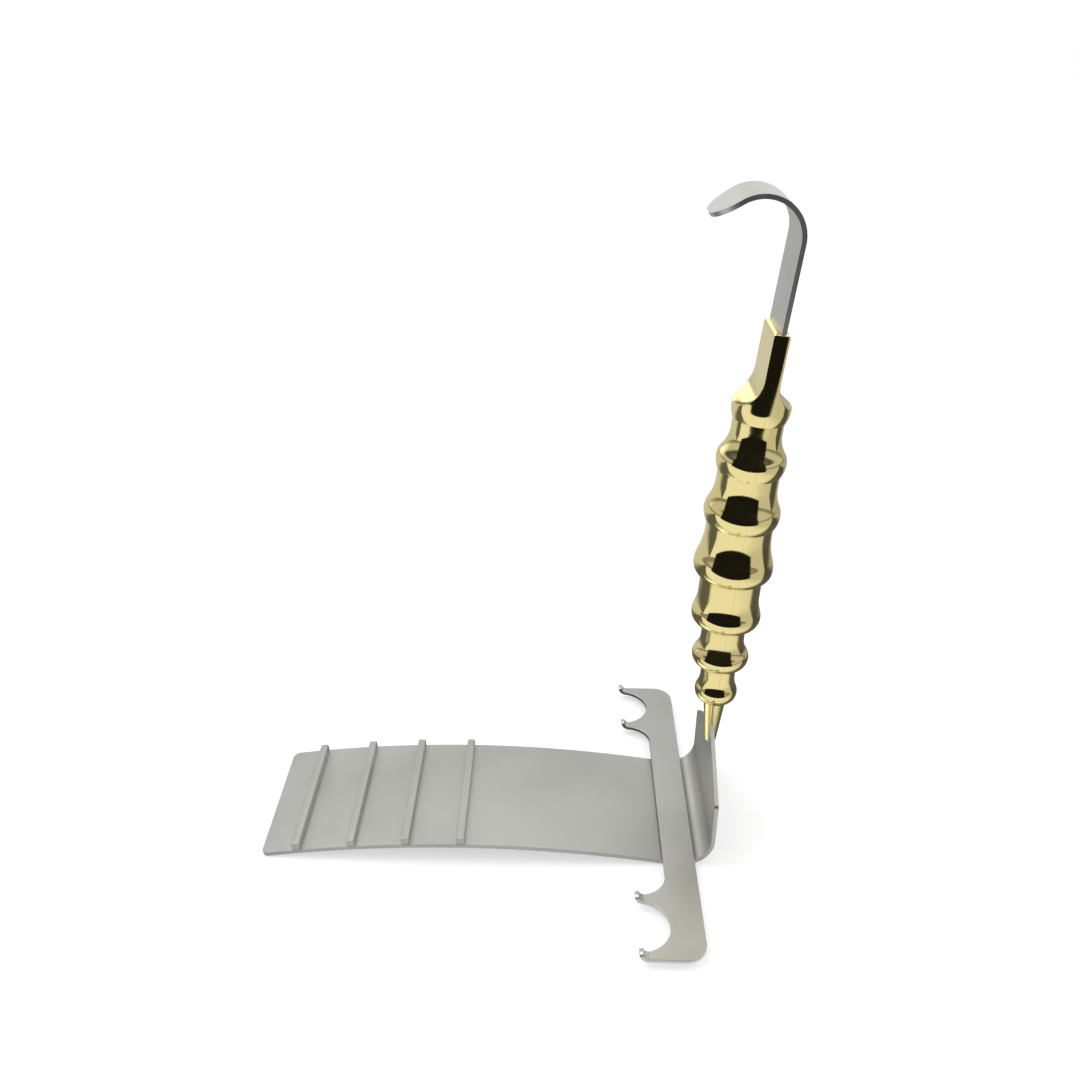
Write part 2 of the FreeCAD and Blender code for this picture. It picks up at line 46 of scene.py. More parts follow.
class Wire:
    def __init__(self, graph, socket):
        self.graph = graph
        self.socket = socket

    def join(self, operation, first, second=None):
        inputs = {0: first} if second is None else {0: first, 1: second}
        return self.graph.get("ShaderNodeMath", {"operation": operation}, inputs)

    def __add__(self, other):
        return self.join("ADD", self, other)

    def __radd__(self, other):
        return self.join("ADD", other, self)

    def __sub__(self, other):
        return self.join("SUBTRACT", self, other)

    def __rsub__(self, other):
        return self.join("SUBTRACT", other, self)

    def __mul__(self, other):
        return self.join("MULTIPLY", self, other)

    def __rmul__(self, other):
        return self.join("MULTIPLY", other, self)

    def __truediv__(self, other):
        return self.join("DIVIDE", self, other)

    def __rtruediv__(self, other):
        return self.join("DIVIDE", other, self)

    def __neg__(self):
        return self.join("MULTIPLY", self, -1.0)

    def __abs__(self):
        return self.join("ABSOLUTE", self)

    def call(self, operation):
        return self.join(operation, self)

    def least(self, other):
        return self.join("MINIMUM", self, other)

    def most(self, other):
        return self.join("MAXIMUM", self, other)


class Graph:
    def __init__(self, tree):
        self.tree = tree
        tree.nodes.clear()

    def add(self, kind, settings=None, inputs=None):
        node = self.tree.nodes.new(kind)
        for name, value in (settings or {}).items():
            setattr(node, name, value)
        for key, value in (inputs or {}).items():
            if isinstance(value, Wire):
                self.tree.links.new(value.socket, node.inputs[key])
            else:
                node.inputs[key].default_value = value
        return node

    def get(self, kind, settings=None, inputs=None, output=0):
        return Wire(self, self.add(kind, settings, inputs).outputs[output])

    def split(self, vector):
        node = self.add("ShaderNodeSeparateXYZ", inputs={0: vector})
        return [Wire(self, socket) for socket in node.outputs]

    def blend(self, mask, first, second):
        settings = {"data_type": "RGBA", "clamp_factor": True}
        return self.get("ShaderNodeMix", settings, {0: mask, 6: first, 7: second}, output=2)

    def spread(self, value, low, high, start=0.0, end=1.0):
        settings = {"interpolation_type": "SMOOTHSTEP", "clamp": True}
        inputs = {"Value": value, "From Min": low, "From Max": high, "To Min": start, "To Max": end}
        return self.get("ShaderNodeMapRange", settings, inputs)

    def noise(self, place, scale, detail, roughness):
        inputs = {"Vector": place, "Scale": scale, "Detail": detail, "Roughness": roughness}
        return self.get("ShaderNodeTexNoise", {}, inputs)


def newMaterial(name, color):
    material = bpy.data.materials.new(name)
    material.use_nodes = True
    material.diffuse_color = (*color, 1.0)
    return material, Graph(material.node_tree)


# Materials

steelLook = {
    "color": (0.565, 0.565, 0.53),  # satin face
    "edgeShadeColor": (0.45, 0.45, 0.425),  # painted shade: the cut edges are darker where they read dark; their polish from handling is the lower edge roughness
    "dullColor": (0.51, 0.51, 0.48),  # broad faint clouds in the finish
    "edgeShadeShare": 0.8,
    "edgeWidth": 0.0006,
    "edgeTurn": (0.01, 0.12),  # how far the rounded normal leans away at an edge
    "roughness": 0.40,
    "edgeRoughness": 0.33,
    # Noise: scale per metre, detail, roughness
    "clouds": (22.0, 3.0, 0.55),
    "smears": (90.0, 4.0, 0.6),
    "grain": (3200.0, 2.0, 0.6),
    "cloudRange": (0.38, 0.66),
    "smearRoughness": 0.12,  # how much the smears change the roughness
    "grainRoughness": 0.08,
    "grainDepth": 0.00004,
    "grainStrength": 0.35,
}

giltLook = {
    "color": (0.87, 0.75, 0.345),
    "creaseShadeAndSeamColor": (0.60, 0.46, 0.20),  # painted shade in the creases, and the dark line of the seam between the shells
    "roughness": 0.055,
    "smears": (70.0, 4.0, 0.6),
    "dust": (900.0, 2.0, 0.5),
    "smearRange": (0.45, 0.75),
    "smearRoughness": 0.13,
    "dustRoughness": 0.03,
    "creaseReach": 0.003,
    "creaseRange": (0.45, 0.92),
    "creaseShadeShare": 0.75,
    "creaseRoughness": 0.1,
    "ripple": 0.00003,  # slight unevenness of the pressed shells
    "rippleStrength": 0.6,
    "seamEdges": (0.000064, 0.00016),  # from the middle of the fine line between the shells
    "seamShare": 0.5,
}


def edgeMask(graph, look):
    rounded = graph.get("ShaderNodeBevel", {"samples": 6}, {"Radius": look["edgeWidth"]})
    plain = graph.get("ShaderNodeNewGeometry", output=1)
    product = {"operation": "DOT_PRODUCT"}
    facing = graph.get("ShaderNodeVectorMath", product, {0: rounded, 1: plain}, output=1)
    return graph.spread(1.0 - facing, *look["edgeTurn"])


def makeSteel(name, look):
    material, graph = newMaterial(name, look["color"])
    place = graph.get("ShaderNodeTexCoord", output=3)
    clouds = graph.noise(place, *look["clouds"])
    smears = graph.noise(place, *look["smears"])
    grain = graph.noise(place, *look["grain"])
    edge = edgeMask(graph, look)
    cloudy = graph.spread(clouds, *look["cloudRange"])
    face = graph.blend(cloudy, (*look["color"], 1.0), (*look["dullColor"], 1.0))
    # The cut edges take a darker colour: painted shade
    color = graph.blend(edge * look["edgeShadeShare"], face, (*look["edgeShadeColor"], 1.0))
    roughness = look["roughness"] + (smears - 0.5) * look["smearRoughness"]
    roughness = roughness + (grain - 0.5) * look["grainRoughness"]
    roughness = roughness - edge * (look["roughness"] - look["edgeRoughness"])
    bump = graph.get("ShaderNodeBump", inputs={
        "Strength": look["grainStrength"],
        "Distance": look["grainDepth"],
        "Height": grain,
    })
    shader = graph.get(
        "ShaderNodeBsdfPrincipled",
        inputs={"Base Color": color, "Metallic": 1.0, "Roughness": roughness, "Normal": bump},
    )
    graph.add("ShaderNodeOutputMaterial", inputs={"Surface": shader})
    return material


def makeGilt(name, look, bow):
    material, graph = newMaterial(name, look["color"])
    place = graph.get("ShaderNodeTexCoord", output=3)
    x, _, z = graph.split(place)
    # The parting line of the two shells runs up the handle's bowed middle line
    rise = (z - bow["foot"] * mm) / (bow["radius"] * mm)
    middle = bow["start"] * mm + (bow["radius"] * mm) * (1.0 - (1.0 - rise * rise).call("SQRT"))
    seam = 1.0 - graph.spread(abs(x - middle), *look["seamEdges"])
    smears = graph.noise(place, *look["smears"])
    dust = graph.noise(place, *look["dust"])
    # Ambient occlusion darkens the creases: painted shade
    openness = graph.get(
        "ShaderNodeAmbientOcclusion",
        {"samples": 6, "only_local": True},
        {"Distance": look["creaseReach"]},
        output=1,
    )
    crease = 1.0 - graph.spread(openness, *look["creaseRange"])
    # The creases take the darker colour as painted shade; the seam between the shells is a dark
    # joint
    deep = (crease * look["creaseShadeShare"]).most(seam * look["seamShare"])
    color = graph.blend(deep, (*look["color"], 1.0), (*look["creaseShadeAndSeamColor"], 1.0))
    gap = look["smearRoughness"] - look["roughness"]
    roughness = look["roughness"] + graph.spread(smears, *look["smearRange"]) * gap
    roughness = roughness + crease * look["creaseRoughness"] + (dust - 0.5) * look["dustRoughness"]
    bump = graph.get("ShaderNodeBump", inputs={
        "Strength": look["rippleStrength"],
        "Distance": look["ripple"],
        "Height": smears,
    })
    shader = graph.get(
        "ShaderNodeBsdfPrincipled",
        inputs={"Base Color": color, "Metallic": 1.0, "Roughness": roughness, "Normal": bump},
    )
    graph.add("ShaderNodeOutputMaterial", inputs={"Surface": shader})
    return material


# Helpers for the pieces

def shares(count, first=1):
    # Even steps up to 1, with first=0 from 0
    return [n / count for n in range(first, count + 1)]


def smoothFaces(mesh):
    for face in mesh.polygons:
        face.use_smooth = True


def newPiece(name, mesh, material, nodes):
    piece = bpy.data.objects.new(name, mesh)
    bpy.context.scene.collection.objects.link(piece)
    if not mesh.materials:
        mesh.materials.append(material)
    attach(piece, "root")
    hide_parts(*nodes)
    return piece


def plateMesh(name, rows, columns, thickness):
    # A closed plate of even thickness above its rows of (centre point in mm, normal, half width)
    build = bmesh.new()
    grids = []
    for lift in (0.0, thickness):
        grid = []
        for point, normal, half in rows:
            line = []
            for column in range(columns + 1):
                across = half * (2 * column / columns - 1)
                spot = Vector((point[0] + normal[0] * lift, across, point[1] + normal[1] * lift))
                line.append(build.verts.new(spot * mm))
            grid.append(line)
        grids.append(grid)
    low, high = grids
    last = len(rows) - 1
    for row in range(last):
        for column in range(columns):
            corners = ((row, column), (row, column + 1), (row + 1, column + 1), (row + 1, column))
            build.faces.new([low[r][c] for r, c in corners])
            build.faces.new([high[r][c] for r, c in reversed(corners)])
        for column in (0, columns):
            lower = low[row][column], low[row + 1][column]
            build.faces.new((*lower, high[row + 1][column], high[row][column]))
    for row in (0, last):
        for column in range(columns):
            lower = low[row][column], low[row][column + 1]
            build.faces.new((*lower, high[row][column + 1], high[row][column]))
    bmesh.ops.recalc_face_normals(build, faces=build.faces)
    mesh = bpy.data.meshes.new(name)
    build.to_mesh(mesh)
    build.free()
    smoothFaces(mesh)
    return mesh


def softenEdges(piece, width, angle=40.0, segments=3):
    bevel = piece.modifiers.new("softEdges", "BEVEL")
    bevel.width = width * mm
    bevel.segments = segments
    bevel.limit_method = "ANGLE"
    bevel.angle_limit = math.radians(angle)
    bevel.harden_normals = True


# Blade: one sheet from the tip, over the arch and the heel bend, to the tang

blade = {
    "width": 60.0,
    "thickness": 1.5,
    "reach": 158.4,  # origin to the tip
    "archRadius": 478.0,  # lower face
    "land": 2.0,
    "blendRadius": 18.0,
    "heelStart": 1.55,
    "heelRadius": 10.2,  # inner face of the bend
    "shoulderFoot": 28.2,
    "shoulderTop": 46.2,
    "tangWidth": 4.8,
    "tangTop": 57.0,
    "tipCorner": 2.5,
    "uprightCorner": 2.2,
    "softEdge": 0.22,
    "tipShare": 1 / 72,  # share of the arch whose rows round the tip's corners
    "columns": 20,  # faces across
    # Rows along each stretch
    "tipRows": 8,
    "archRows": 64,
    "blendRows": 8,
    "heelRows": 24,
    "uprightRows": 6,
    "cornerRows": 8,
    "shoulderRows": 16,
}


def archOf(size):
    # Centre of the arch, which ends at the tip on the floor and touches the blend above the land
    blendX = -size["land"]
    along = blendX + size["reach"]
    span = math.hypot(along, size["blendRadius"])
    both = size["archRadius"] + size["blendRadius"]
    towards = (span ** 2 + size["archRadius"] ** 2 - both ** 2) / (2 * span)
    sideways = math.sqrt(size["archRadius"] ** 2 - towards ** 2)
    x = (towards * along + sideways * size["blendRadius"]) / span - size["reach"]
    z = (towards * size["blendRadius"] - sideways * along) / span
    return x, z


archX, archZ = archOf(blade)


def archAngle(x):
    return math.asin((x - archX) / blade["archRadius"])


def bladeRows(size):
    rows = []
    half = size["width"] / 2
    both = size["archRadius"] + size["blendRadius"]
    meetX = archX - (size["land"] + archX) * size["archRadius"] / both
    first = archAngle(-size["reach"])
    last = archAngle(meetX)
    corner = size["tipCorner"]
    tip = size["tipShare"]
    steps = [tip * (1 - math.cos(math.pi / 2 * share)) for share in shares(size["tipRows"], 0)]
    steps += [steps[-1] + (1 - steps[-1]) * share for share in shares(size["archRows"])]
    for step in steps:
        angle = first + (last - first) * step
        fromTip = (angle - first) * size["archRadius"]
        inset = max(0.0, corner - fromTip)
        width = half - corner + math.sqrt(max(0.0, corner ** 2 - inset ** 2))
        x = archX + size["archRadius"] * math.sin(angle)
        z = archZ + size["archRadius"] * math.cos(angle)
        rows.append(((x, z), (math.sin(angle), math.cos(angle)), width))
    for share in shares(size["blendRows"]):  # blend down to the land
        angle = last * (1 - share)
        x = -size["land"] - size["blendRadius"] * math.sin(angle)
        z = size["blendRadius"] * (1 - math.cos(angle))
        rows.append(((x, z), (math.sin(angle), math.cos(angle)), half))
    outer = size["heelRadius"] + size["thickness"]
    for share in shares(size["heelRows"], 0):  # heel bend
        angle = math.pi / 2 * share
        point = (size["heelStart"] + outer * math.sin(angle), outer * (1 - math.cos(angle)))
        rows.append((point, (-math.sin(angle), math.cos(angle)), half))
    x = size["heelStart"] + outer
    foot, top = size["shoulderFoot"], size["shoulderTop"]
    tang = size["tangWidth"] / 2
    slope = math.atan2(half - tang, top - foot)
    corner = size["uprightCorner"]
    run = corner * math.tan(slope / 2)
    heights = [outer + (foot - run - outer) * share for share in shares(size["uprightRows"])]
    rounded = shares(size["cornerRows"])
    heights += [foot - run + corner * math.sin(slope * share) for share in rounded]
    below = heights[-1]
    heights += [below + (top - below) * share for share in shares(size["shoulderRows"])]
    heights += [(top + size["tangTop"]) / 2, size["tangTop"]]
    for height in heights:
        if height <= foot - run:
            width = half
        elif height <= below:
            turn = math.asin((height - foot + run) / corner)
            width = half - corner * (1 - math.cos(turn))
        elif height <= top:
            width = tang + (half - tang) * (top - height) / (top - foot)
        else:
            width = tang
        rows.append(((x, height), (-1.0, 0.0), width))
    return rows


steel = makeSteel("satinSteel", steelLook)
bladeMesh = plateMesh("blade_plate", bladeRows(blade), blade["columns"], blade["thickness"])
bladePiece = newPiece("blade_plate", bladeMesh, steel, ["blade"])
softenEdges(bladePiece, blade["softEdge"])
print("blade made")


# Ribs: square bars laid across the arch, repeated by Geometry Nodes

ribs = {
    "count": 4,
    "side": 3.0,
    "setback": 13.4,
    "pitch": 20.8,
    "softEdge": 0.4,
    "endSoftness": 0.2,
    "softAngle": 60.0,
    "inset": 0.02,  # shorter than the blade is wide
}


def newTree(name, inputs):
    tree = bpy.data.node_groups.new(name, "GeometryNodeTree")
    tree.interface.new_socket("Geometry", in_out="INPUT", socket_type="NodeSocketGeometry")
    for label, kind in inputs:
        tree.interface.new_socket(label, in_out="INPUT", socket_type=kind)
    tree.interface.new_socket("Geometry", in_out="OUTPUT", socket_type="NodeSocketGeometry")
    graph = Graph(tree)
    entry = graph.add("NodeGroupInput")
    given = {socket.name: Wire(graph, socket) for socket in entry.outputs if socket.name}
    return tree, graph, given


def runTree(tree, mesh, values, name):
    # Feeds the modifier's inputs by identifier, evaluates once and keeps the plain mesh
    holder = bpy.data.objects.new(name, mesh)
    bpy.context.scene.collection.objects.link(holder)
    modifier = holder.modifiers.new("build", "NODES")
    modifier.node_group = tree
    for item in tree.interface.items_tree:
        if item.item_type == "SOCKET" and item.in_out == "INPUT" and item.name in values:
            modifier[item.identifier] = values[item.name]
    depsgraph = bpy.context.evaluated_depsgraph_get()
    made = bpy.data.meshes.new_from_object(holder.evaluated_get(depsgraph), depsgraph=depsgraph)
    made.name = name
    holder.modifiers.remove(modifier)
    bpy.data.objects.remove(holder)
    return made


def ribTree(material):
    number = "NodeSocketFloat"
    tree, graph, given = newTree("ribRow", [
        ("Count", "NodeSocketInt"),
        ("Length", number),
        ("Side", number),
        ("Soft edge", number),
        ("First", number),
        ("Pitch", number),
        ("Arch X", number),
        ("Arch Z", number),
        ("Arch radius", number),
    ])
    square = {"Width": given["Side"], "Height": given["Side"]}
    profile = graph.get("GeometryNodeCurvePrimitiveQuadrilateral", inputs=square)
    corners = {"Curve": profile, "Radius": given["Soft edge"], "Count": 4}
    rounded = graph.get("GeometryNodeFilletCurve", {"mode": "POLY"}, corners)
    half = given["Length"] * 0.5
    start = graph.get("ShaderNodeCombineXYZ", inputs={"Y": -half})
    end = graph.get("ShaderNodeCombineXYZ", inputs={"Y": half})
    line = graph.get("GeometryNodeCurvePrimitiveLine", inputs={"Start": start, "End": end})
    sweep = {"Curve": line, "Profile Curve": rounded, "Fill Caps": True}
    rib = graph.get("GeometryNodeCurveToMesh", inputs=sweep)
    up = graph.get("ShaderNodeCombineXYZ", inputs={"Z": given["Side"] * 0.5})
    raised = graph.get("GeometryNodeSetPosition", inputs={"Geometry": rib, "Offset": up})
    index = graph.get("GeometryNodeInputIndex")
    row = graph.get("GeometryNodeMeshLine", inputs={"Count": given["Count"]})
    x = given["First"] + given["Pitch"] * index
    out = x - given["Arch X"]
    z = given["Arch Z"] + (given["Arch radius"] * given["Arch radius"] - out * out).call("SQRT")
    seat = graph.get("ShaderNodeCombineXYZ", inputs={"X": x, "Z": z})
    points = graph.get("GeometryNodeSetPosition", inputs={"Geometry": row, "Position": seat})
    leaning = (out / given["Arch radius"]).call("ARCSINE")
    lean = graph.get("ShaderNodeCombineXYZ", inputs={"Y": leaning})
    turn = graph.get("FunctionNodeEulerToRotation", inputs={0: lean})
    seated = {"Points": points, "Instance": raised, "Rotation": turn}
    copies = graph.get("GeometryNodeInstanceOnPoints", inputs=seated)
    real = graph.get("GeometryNodeRealizeInstances", inputs={"Geometry": copies})
    finished = graph.get("GeometryNodeSetMaterial", inputs={"Geometry": real, "Material": material})
    graph.add("NodeGroupOutput", inputs={0: finished})
    return tree


ribValues = {
    "Count": ribs["count"],
    "Length": (blade["width"] - ribs["inset"]) * mm,
    "Side": ribs["side"] * mm,
    "Soft edge": ribs["softEdge"] * mm,
    "First": (ribs["setback"] - blade["reach"]) * mm,
    "Pitch": ribs["pitch"] * mm,
    "Arch X": archX * mm,
    "Arch Z": archZ * mm,
    "Arch radius": (blade["archRadius"] + blade["thickness"]) * mm,
}
ribMesh = runTree(ribTree(steel), bpy.data.meshes.new("ribSeed"), ribValues, "ribs")
ribPiece = newPiece("ribs", ribMesh, steel, [f"rib_{n + 1}" for n in range(ribs["count"])])
softenEdges(ribPiece, ribs["endSoftness"], ribs["softAngle"])
print("ribs made")


# Cross bar: flat sheet with a round notch at each end and curled prongs

bar = {
    "width": 12.0,
    "thickness": 1.5,
    "reach": 79.0,
    "corner": 7.8,
    "notchRadius": 11.6,
    "outerProng": 3.2,  # prongs where they are narrowest
    "innerProng": 3.3,
    "notchOut": 17.5,
    "prongSweep": 9.5,
    "curlStart": 14.2,
    "curlRadius": 2.2,
    "curlAngle": 85.0,
    "curlSteps": 12,
    "endRounding": (0.15, 0.5),  # taken off each side in the curl's last two steps
    "softEdge": 0.25,
    # Edges along each arc of the outline
    "cornerEdges": 16,
    "notchEdges": 40,
    "sweepEdges": 14,
    "match": 0.0001,  # points nearer than this to the curl's line are on it
}


def arcPoints(middle, radius, start, end, count):
    angles = [start + (end - start) * share for share in shares(count, 0)]
    return [(middle[0] + radius * math.cos(a), middle[1] + radius * math.sin(a)) for a in angles]


def barMesh(name, size):
    half = size["width"] / 2
    corner = (half - size["corner"], size["reach"] - size["corner"])
    curlX = -size["curlStart"]
    notchY = size["reach"] - size["outerProng"] - size["notchRadius"]
    notch = (-size["notchOut"], notchY)
    opened = math.acos((curlX - notch[0]) / size["notchRadius"])
    sweepY = notchY - size["notchRadius"] - size["innerProng"] - size["prongSweep"]
    sweep = (-half - size["prongSweep"], sweepY)
    swept = math.acos((curlX - sweep[0]) / size["prongSweep"])
    outline = arcPoints(corner, size["corner"], 0.0, math.pi / 2, size["cornerEdges"])
    outline.append((curlX, size["reach"]))
    outline += arcPoints(notch, size["notchRadius"], opened, -opened, size["notchEdges"])
    outline += arcPoints(sweep, size["prongSweep"], swept, 0.0, size["sweepEdges"])
    mirrored = [(x, -y) for x, y in reversed(outline)]
    build = bmesh.new()
    points = [build.verts.new(Vector((x, y, 0.0)) * mm) for x, y in outline + mirrored]
    build.faces.new(points)
    ends = [
        edge for edge in build.edges
        if all(abs(vert.co.x - curlX * mm) < size["match"] * mm for vert in edge.verts)
    ]
    axis = Vector((curlX, 0.0, size["thickness"] + size["curlRadius"])) * mm
    steps = size["curlSteps"]
    turn = Matrix.Rotation(math.radians(size["curlAngle"]) / steps, 3, "Y")
    for edge in ends:
        for step in range(steps):
            grown = bmesh.ops.extrude_edge_only(build, edges=[edge])
            verts = [item for item in grown["geom"] if isinstance(item, bmesh.types.BMVert)]
            bmesh.ops.rotate(build, verts=verts, cent=axis, matrix=turn)
            late = step - steps + len(size["endRounding"])
            if late >= 0:  # the prong ends are rounded off
                middle = sum(vert.co.y for vert in verts) / len(verts)
                for vert in verts:
                    vert.co.y -= math.copysign(size["endRounding"][late] * mm, vert.co.y - middle)
            edge = next(item for item in grown["geom"] if isinstance(item, bmesh.types.BMEdge))
    bmesh.ops.recalc_face_normals(build, faces=build.faces)
    mesh = bpy.data.meshes.new(name)
    build.to_mesh(mesh)
    build.free()
    return mesh


def liftAndThicken(mesh, lift, thickness):
    # Closes the sheet into a plate: the sheet is the lower face
    build = bmesh.new()
    build.from_mesh(mesh)
    build.normal_update()
    largest = max(build.faces, key=lambda face: face.calc_area())
    if largest.normal.z > 0:
        bmesh.ops.reverse_faces(build, faces=build.faces)
    bmesh.ops.solidify(build, geom=list(build.faces), thickness=thickness * mm)
    build.normal_update()
    bmesh.ops.recalc_face_normals(build, faces=build.faces)
    low = min(vert.co.z for vert in build.verts)
    for vert in build.verts:
        vert.co.z += lift * mm - low
    build.to_mesh(mesh)
    build.free()
    smoothFaces(mesh)


pastHeel = bar["width"] / 2 - blade["heelStart"]  # the bar's edge lies on the heel's bend
barRise = blade["heelRadius"] - math.sqrt(blade["heelRadius"] ** 2 - pastHeel ** 2)
crossMesh = barMesh("cross_bar_plate", bar)
liftAndThicken(crossMesh, blade["thickness"] + barRise, bar["thickness"])
barPiece = newPiece("cross_bar_plate", crossMesh, steel, ["cross_bar"])
softenEdges(barPiece, bar["softEdge"])
print("cross bar made")


# Middle line of the handle, which the hook's strip follows too

bow = {
    "foot": 36.0,  # height of the handle's lowest point
    "start": 12.9,  # 0.4 behind the middle of the upright
    "radius": 1650.0,
    "rim": 165.6,  # foot to the neck's rim, along the handle
}


# End hook: flat strip bent over, its end rounded

hook = {
    "width": 21.6,
    "thickness": 1.5,
    "tail": 18.0,
    "tailWidth": 16.0,
    "tailStep": 0.7,  # below the rim, where the strip widens
    "rise": 27.9,
    "radius": 12.0,  # inside
    "turn": 127.0,
    "run": 9.8,
    "corner": 9.2,
    "softEdge": 0.3,
    "columns": 12,  # faces across
    # Rows along each stretch
    "riseRows": 10,
    "bendRows": 36,
    "runRows": 4,
    "endRows": 16,
}


def hookRows(size, line):
    half = size["thickness"] / 2
    outer = size["radius"] + size["thickness"]
    turn = math.radians(size["turn"])
    heights = [-size["tail"], -size["tailStep"]]
    heights += [size["rise"] * share for share in shares(size["riseRows"], 0)[:-1]]
    path = [((half, height), (1.0, 0.0)) for height in heights]
    for share in shares(size["bendRows"], 0):
        angle = turn * share
        spot = (half - outer + outer * math.cos(angle), size["rise"] + outer * math.sin(angle))
        path.append((spot, (math.cos(angle), math.sin(angle))))
    endX, endZ = path[-1][0]
    normal = path[-1][1]
    along = (-math.sin(turn), math.cos(turn))
    corner = size["corner"]
    plain = size["run"] - corner
    steps = [plain * share for share in shares(size["runRows"])]
    steps += [plain + corner * math.sin(math.pi / 2 * share) for share in shares(size["endRows"])]
    widths = [size["tailWidth"] / 2] * 2 + [size["width"] / 2] * (len(path) - 2)
    for step in steps:
        path.append(((endX + along[0] * step, endZ + along[1] * step), normal))
        inset = max(0.0, step - plain)
        widths.append(size["width"] / 2 - corner + math.sqrt(max(0.0, corner ** 2 - inset ** 2)))
    rows = []
    tilt = line["rim"] / line["radius"]
    cosine, sine = math.cos(tilt), math.sin(tilt)
    rimX = line["start"] + line["radius"] * (1 - cosine)
    rimZ = line["foot"] + line["radius"] * sine
    for (spot, normal), width in zip(path, widths):
        x = rimX + spot[0] * cosine + spot[1] * sine
        z = rimZ - spot[0] * sine + spot[1] * cosine
        # rows lie on the outer face, and the plate grows inwards
        inward = (-normal[0] * cosine - normal[1] * sine, normal[0] * sine - normal[1] * cosine)
        rows.append(((x, z), inward, width))
    return rows


hookSheet = hookRows(hook, bow)
hookMesh = plateMesh("end_hook_strip", hookSheet, hook["columns"], hook["thickness"])
hookPiece = newPiece("end_hook_strip", hookMesh, steel, ["end_hook"])
softenEdges(hookPiece, hook["softEdge"])
print("end hook made")


# Handle: stations with a radius and a flattening, swept round the bowed middle line

handle = {
    # crest along the handle, crest radius, depth and radius of the waist below it
    "rings": [
        (138.2, 9.9, 8.5, 8.7),
        (119.2, 12.0, 8.9, 10.7),
        (99.6, 13.3, 7.8, 11.7),
        (78.3, 14.1, 12.0, 11.0),
        (58.2, 12.5, 10.0, 7.9),
        (40.3, 10.4, 9.2, 6.4),
        (24.3, 7.9, 7.0, 4.2),
    ],
    "lip": 4.4,  # crest to crease
    "creaseGrowth": 0.3,
    "flareShare": 0.7,  # share of a flare that curves outwards
    "ferruleTip": 2.2,
    "ferruleRound": 1.6,
    "neckThickness": 5.4,
    "neckRun": 10.0,
    "neckStart": 1.0,  # crest to where the neck's flats begin to run out
    "neckFlat": 12.0,  # crest to the plain part of the neck, whose rows are wider apart
    "neckSoftness": 1.0,
    "rimBevel": 1.5,
    "rimInset": 0.8,  # the bevel's reach inwards, as a share of its height
    "sharpAngle": 34.0,
    "merge": 0.001,  # nearer points become one
    "around": 168,  # faces round the handle
    # Stations along each stretch
    "footRows": 8,
    "ferruleRows": 10,
    "lipRows": 12,
    "curledRows": 7,  # on a flare, below its turning point
    "openedRows": 12,  # and above it
    "waistRows": 3,
    "neckRows": 24,
    "upperRows": 8,
    "rimRows": 6,
}


def handleStations(size):
    # (station, radius, half thickness) from the foot to the rim
    stations = []
    rings = size["rings"]
    lip = size["lip"]
    tip = size["ferruleTip"]
    rounding = size["ferruleRound"]
    wide = 40.0  # wider than any ring, so not flattened
    for share in shares(size["footRows"]):
        angle = math.pi / 2 * share
        station = rounding * (1 - math.cos(angle))
        stations.append((station, tip - rounding * (1 - math.sin(angle)), wide))
    lowest = len(rings) - 1
    crease = rings[lowest][0] - lip
    waist = rings[lowest][3]
    for share in shares(size["ferruleRows"]):
        station = rounding + (crease - rounding) * share
        stations.append((station, tip + (waist - tip) * share, wide))
    for number in range(lowest, -1, -1):
        crest, radius, _, waist = rings[number]
        turned = radius - waist - size["creaseGrowth"]
        under = (lip ** 2 + turned ** 2) / (2 * turned)
        start = math.asin(lip / under)
        for share in shares(size["lipRows"], 0):  # lip, up from the crease to the crest
            angle = start * (1 - share)
            station = crest - under * math.sin(angle)
            stations.append((station, radius - under * (1 - math.cos(angle)), wide))
        if number > 0:
            above, _, aboveDepth, aboveWaist = rings[number - 1]
            growth = radius - aboveWaist
            flare = above - aboveDepth - crest
            slope = (growth ** 2 + flare ** 2) / (2 * growth)
            full = math.atan2(flare, slope - growth)
            curled = slope * (1 - size["flareShare"])
            for share in shares(size["curledRows"]):
                angle = full * share
                station = crest + curled * math.sin(angle)
                stations.append((station, radius - curled * (1 - math.cos(angle)), wide))
            opened = slope * size["flareShare"]
            for share in shares(size["openedRows"]):
                angle = full * (1 - share)
                station = crest + flare - opened * math.sin(angle)
                stations.append((station, aboveWaist + opened * (1 - math.cos(angle)), wide))
            waistAt = above - aboveDepth
            for share in shares(size["waistRows"]):
                stations.append((waistAt + (above - lip - waistAt) * share, aboveWaist, wide))
    crest, radius = rings[0][:2]
    flat = size["neckThickness"] / 2
    run = size["neckRun"]
    start = run + size["neckStart"]
    bevel = size["rimBevel"]
    end = bow["rim"] - crest
    low = size["neckFlat"]
    heights = [low * share for share in shares(size["neckRows"])]
    heights += [low + (end - bevel - low) * share for share in shares(size["upperRows"])]
    for height in heights:
        drop = max(0.0, start - height)
        half = flat + run - math.sqrt(max(0.0, run ** 2 - drop ** 2)) if drop < run else wide
        stations.append((crest + height, radius, half))
    for share in shares(size["rimRows"]):
        angle = math.pi / 2 * share
        inset = bevel * size["rimInset"] * (1 - math.cos(angle))
        station = crest + end - bevel + bevel * math.sin(angle)
        stations.append((station, radius - inset, flat - inset))
    return stations


def stationMesh(size):
    stations = handleStations(size)
    mesh = bpy.data.meshes.new("handleStations")
    points = [(0.0, 0.0, station * mm) for station, _, _ in stations]
    mesh.from_pydata(points, [(n, n + 1) for n in range(len(points) - 1)], [])
    reach = mesh.attributes.new("reach", "FLOAT", "POINT")
    flat = mesh.attributes.new("flat", "FLOAT", "POINT")
    reach.data.foreach_set("value", [radius * mm for _, radius, _ in stations])
    flat.data.foreach_set("value", [half * mm for _, _, half in stations])
    return mesh


